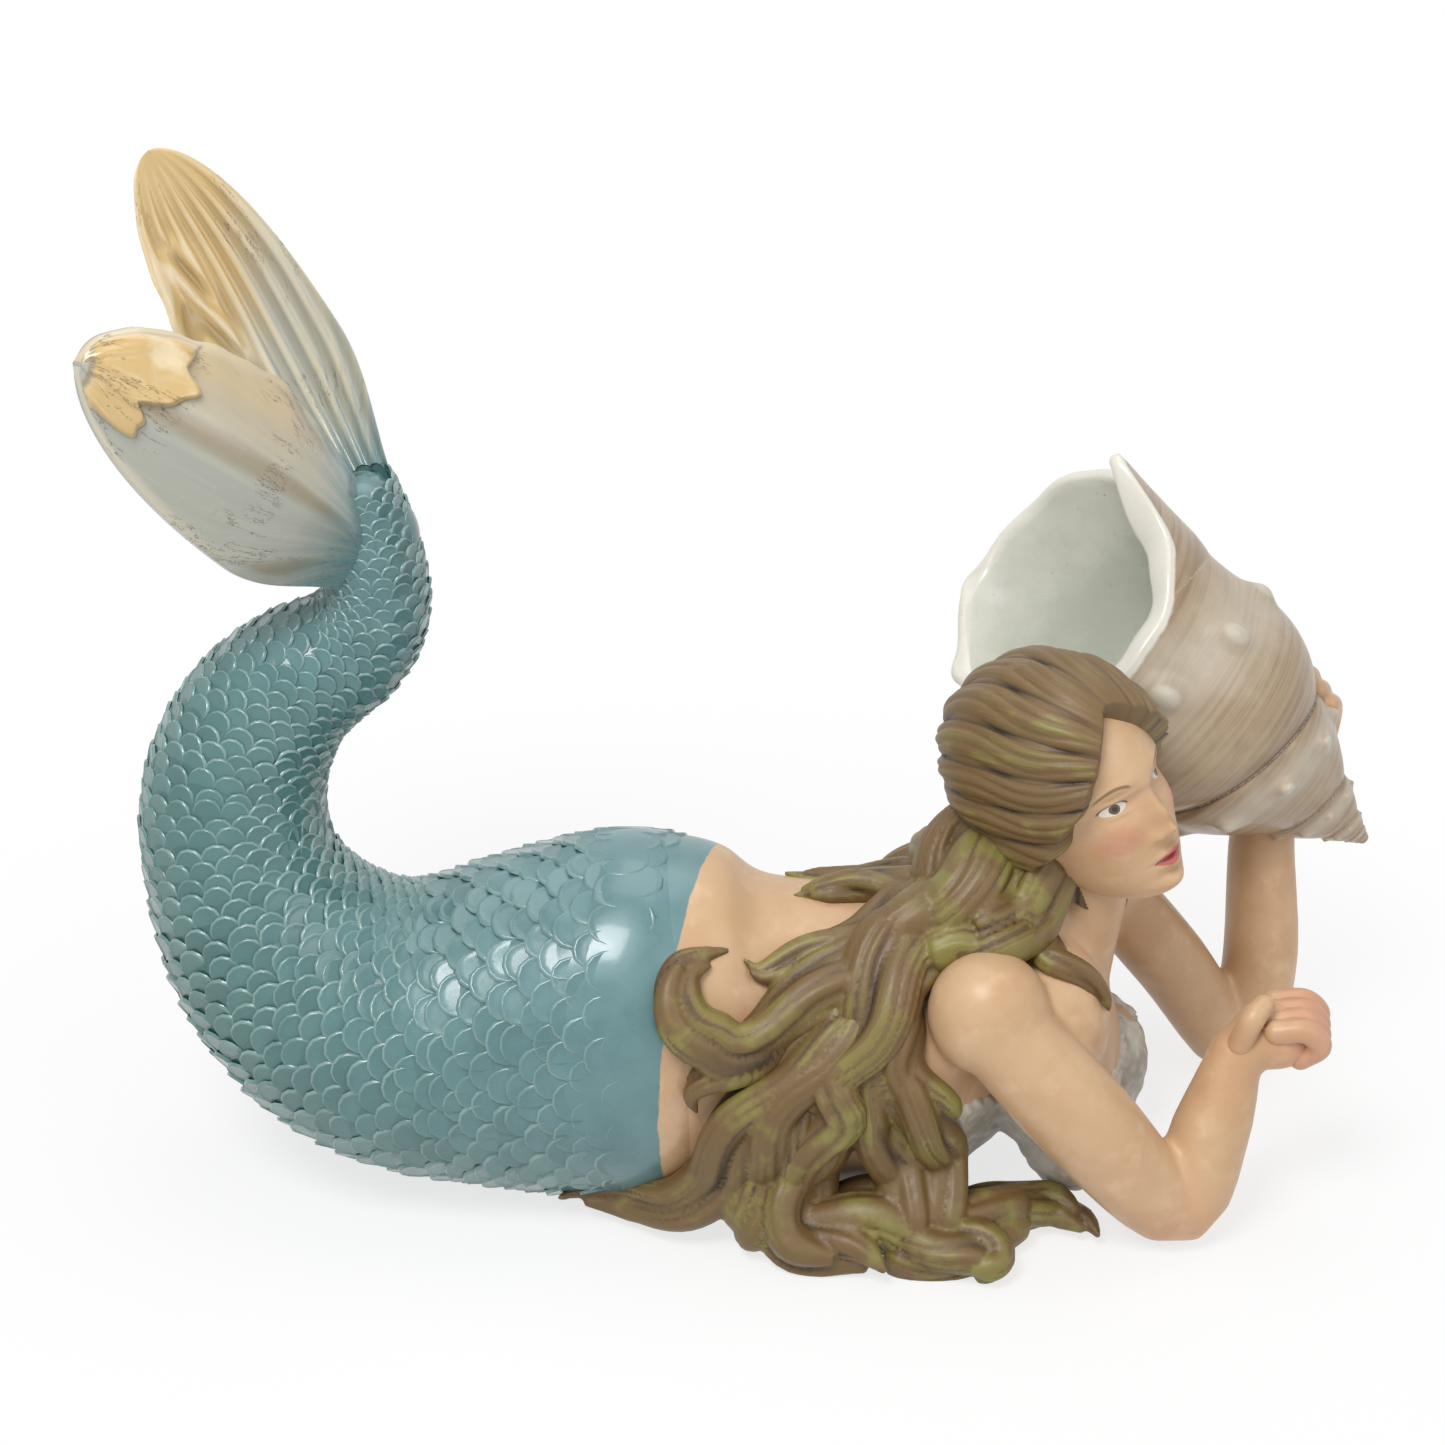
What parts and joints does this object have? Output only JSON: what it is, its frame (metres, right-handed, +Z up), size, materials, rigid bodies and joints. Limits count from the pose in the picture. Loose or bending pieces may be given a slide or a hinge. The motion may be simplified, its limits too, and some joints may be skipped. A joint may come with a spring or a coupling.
{
  "type": "mermaid bottle holder",
  "caption": "Cast resin mermaid lying on her front with a raised scaled tail, holding a conch shell that takes the neck of a wine bottle laid over her back.",
  "frame": {"origin": "on the flat underside below the waist", "axes": "+X from the tail to the head along the length, +Z up, -Y towards the side with the near arm"},
  "size_m": [0.4094, 0.1967, 0.324],
  "materials": {
    "scales": "gloss",
    "skin": "satin",
    "fin": "gloss",
    "hair": "satin",
    "bodice": "satin",
    "shell": "gloss"
  },
  "bodies": {
    "root": {"mermaid_holder": "scales"}
  },
  "joints": []
}
